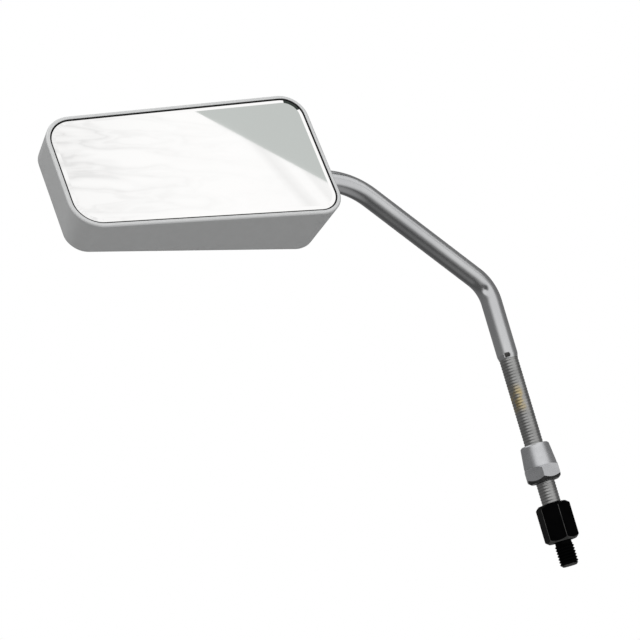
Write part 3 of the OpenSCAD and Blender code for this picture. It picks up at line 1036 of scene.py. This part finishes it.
def floor():
    """Pale floor under the object."""
    bm = bmesh.new()
    bmesh.ops.create_grid(bm, x_segments=FLOOR_PARTS, y_segments=FLOOR_PARTS, size=FLOOR_HALF)
    obj = new_object("floor", bm)
    obj.location = (0, 0, FLOOR_Z)
    obj.visible_glossy = False
    material, _, _ = node_material("pale_floor", FLOOR_COLOUR, 0.0, FLOOR_ROUGHNESS)
    obj.data.materials.append(material)


def lamps():
    """Soft lamps, aimed at the object, that reflections don't show."""
    for name, (direction, distance, size, watts) in LAMPS.items():
        light = bpy.data.lights.new(name, "AREA")
        light.size = size
        light.energy = watts
        obj = bpy.data.objects.new(name, light)
        obj.visible_glossy = False
        bpy.context.scene.collection.objects.link(obj)
        away = Vector(direction).normalized()
        obj.location = AIM + away * distance
        obj.rotation_euler = (-away).to_track_quat("-Z", "Y").to_euler()


def card(name, corners, colour):
    """Flat glowing card that only shows in reflections; gives its node tree and glow node."""
    bm = bmesh.new()
    bm.faces.new([bm.verts.new(p) for p in corners])
    obj = new_object(name, bm)
    m = bpy.data.materials.new(name)
    m.use_nodes = True
    tree = m.node_tree
    tree.nodes.remove(tree.nodes["Principled BSDF"])
    glow = tree.nodes.new("ShaderNodeEmission")
    glow.inputs["Color"].default_value = (*colour, 1)
    tree.links.new(glow.outputs["Emission"], tree.nodes["Material Output"].inputs["Surface"])
    obj.data.materials.append(m)
    obj.visible_camera = False
    obj.visible_diffuse = False
    obj.visible_shadow = False
    return tree, glow


def pixel_ray(pixel):
    """Direction in the model of the ray through a pixel."""
    x = (pixel[0] - IMAGE / 2) / FOCAL_PX
    y = (pixel[1] - IMAGE / 2) / FOCAL_PX
    return (CAMERA_FORWARD + CAMERA_RIGHT * x + CAMERA_DOWN * y).normalized()


def mirrored(pixel, distance, lean=(0, 0)):
    """Point that a pixel of the glass shows, at a distance along the reflected ray.

    A lean is the slope of the glass there, across and up.
    """
    face = HEAD @ Vector((0, GLASS_SINK, 0))
    normal = (HEAD.to_3x3() @ Vector((lean[0], -1, lean[1]))).normalized()
    ray = pixel_ray(pixel)
    hit = CAMERA_AT + ray * ((face - CAMERA_AT).dot(normal) / ray.dot(normal))
    return hit + ray.reflect(normal) * distance


def glass_card():
    """Grey card that the glass shows as a triangle."""
    a = mirrored(GLASS_EDGE_FROM, CARD_AWAY)
    b = mirrored(GLASS_EDGE_TO, CARD_AWAY)
    along = (b - a).normalized() * CARD_REACH
    inside = mirrored((GLASS_EDGE_TO[0], GLASS_EDGE_FROM[1]), CARD_AWAY) - a
    across = inside - along * inside.dot(along) / along.length_squared
    across = across.normalized() * CARD_REACH
    corners = [a - along, b + along, b + along + across, a - along + across]
    card("glass_card", corners, GLASS_CARD_COLOUR)


def corner_card():
    """Dark card that the glass's bevel shows at one corner."""
    slope = EDGE_DROP / BAND_W
    inner, outer = (
        [mirrored(p, CARD_AWAY, (slope * reach * x, slope * reach * z)) for p, (x, z) in CORNER_STATIONS]
        for reach in CORNER_REACH
    )
    card("corner_card", inner + outer[::-1], CORNER_CARD_COLOUR)


def paper():
    """Creased and streaked white sheet that the glass shows."""
    tree, glow = card("paper", [mirrored(p, PAPER_AWAY) for p in PAPER_CORNERS], (1, 1, 1))
    start, right, up = (mirrored(p, PAPER_AWAY) for p in PAPER_GRID)
    off = tree.nodes.new("ShaderNodeVectorMath")
    off.operation = "SUBTRACT"
    off.inputs[1].default_value = start
    tree.links.new(object_point(tree), off.inputs[0])
    grid = tree.nodes.new("ShaderNodeCombineXYZ")
    for socket, end in (("X", right), ("Y", up)):
        step = (end - start) / (end - start).length_squared
        tree.links.new(dot_with(tree, off.outputs["Vector"], step), grid.inputs[socket])
    place = grid.outputs["Vector"]

    creased = mapped(tree, place, CREASE_STRETCH, CREASE_TURN)
    creased = noise(tree, creased, CREASE_SCALE, CREASE_DETAIL, CREASE_DISTORTION)
    fade = greys(tree, split(tree, place)["X"], CREASE_FADE)
    level = mix(tree, computed(tree, "MULTIPLY", fade, greys(tree, creased, CREASES)), *PAPER_LEVEL)

    streaked = split(tree, mapped(tree, place, STREAK_STRETCH, STREAK_TURN, STREAK_SHIFT))
    streaks = greys(tree, streaked["Y"], STREAKS)
    streaks = computed(tree, "MULTIPLY", streaks, greys(tree, streaked["X"], STREAK_START))
    level = computed(tree, "SUBTRACT", level, mix(tree, streaks, 0.0, STREAK_DEPTH))
    tree.links.new(level, glow.inputs["Strength"])


def studio_direction(turn, rise):
    """Direction turned to the right off the way to the camera, and raised, in degrees."""
    back = Vector((-CAMERA_FORWARD.x, -CAMERA_FORWARD.y, 0)).normalized()
    level = Matrix.Rotation(math.radians(turn), 3, "Z") @ back
    return level * math.cos(math.radians(rise)) + Vector((0, 0, math.sin(math.radians(rise))))


def levels(tree, value, stops):
    """Value from -1 to 1 read through (position, level) stops."""
    half = ranged(tree, value, (-1, 1))
    return greys(tree, half, [((at + 1) / 2, level) for at, level in stops])


def world():
    """White behind the object, a soft studio in reflections, and even light for the rest."""
    w = bpy.data.worlds.new("studio")
    bpy.context.scene.world = w
    w.use_nodes = True
    w.cycles.sampling_method = "NONE"
    tree = w.node_tree
    back = tree.nodes["Background"]
    back.inputs["Color"].default_value = (1, 1, 1, 1)
    direction = tree.nodes.new("ShaderNodeTexCoord").outputs["Generated"]
    window, low_window, dim_side = (
        levels(tree, dot_with(tree, direction, studio_direction(*turned_to)), stops)
        for turned_to, stops in (WINDOW, LOW_WINDOW, DIM_SIDE)
    )
    studio = computed(tree, "MAXIMUM", window, low_window)
    studio = computed(tree, "MINIMUM", studio, dim_side)
    studio = computed(tree, "MAXIMUM", studio, levels(tree, split(tree, direction)["Z"], HEIGHTS))
    path = tree.nodes.new("ShaderNodeLightPath").outputs
    shown = computed(tree, "MAXIMUM", path["Is Glossy Ray"], path["Is Transmission Ray"])
    level = mix(tree, shown, AMBIENT, studio)
    level = mix(tree, path["Is Camera Ray"], level, 1.0)
    tree.links.new(level, back.inputs["Strength"])


def camera():
    """Camera solved from the photo."""
    data = bpy.data.cameras.new("camera")
    data.sensor_width = SENSOR
    data.lens = FOCAL_PX * SENSOR / IMAGE
    data.shift_x = -HALF_PIXEL
    data.shift_y = HALF_PIXEL
    data.clip_start = CLIP_START
    obj = bpy.data.objects.new("camera", data)
    bpy.context.scene.collection.objects.link(obj)
    axes = Matrix((CAMERA_RIGHT, -CAMERA_DOWN, -CAMERA_FORWARD)).transposed()
    obj.matrix_world = Matrix.Translation(CAMERA_AT) @ axes.to_4x4()
    bpy.context.scene.camera = obj


floor()
lamps()
glass_card()
corner_card()
paper()
world()
camera()
bpy.context.scene.view_settings.view_transform = "Standard"
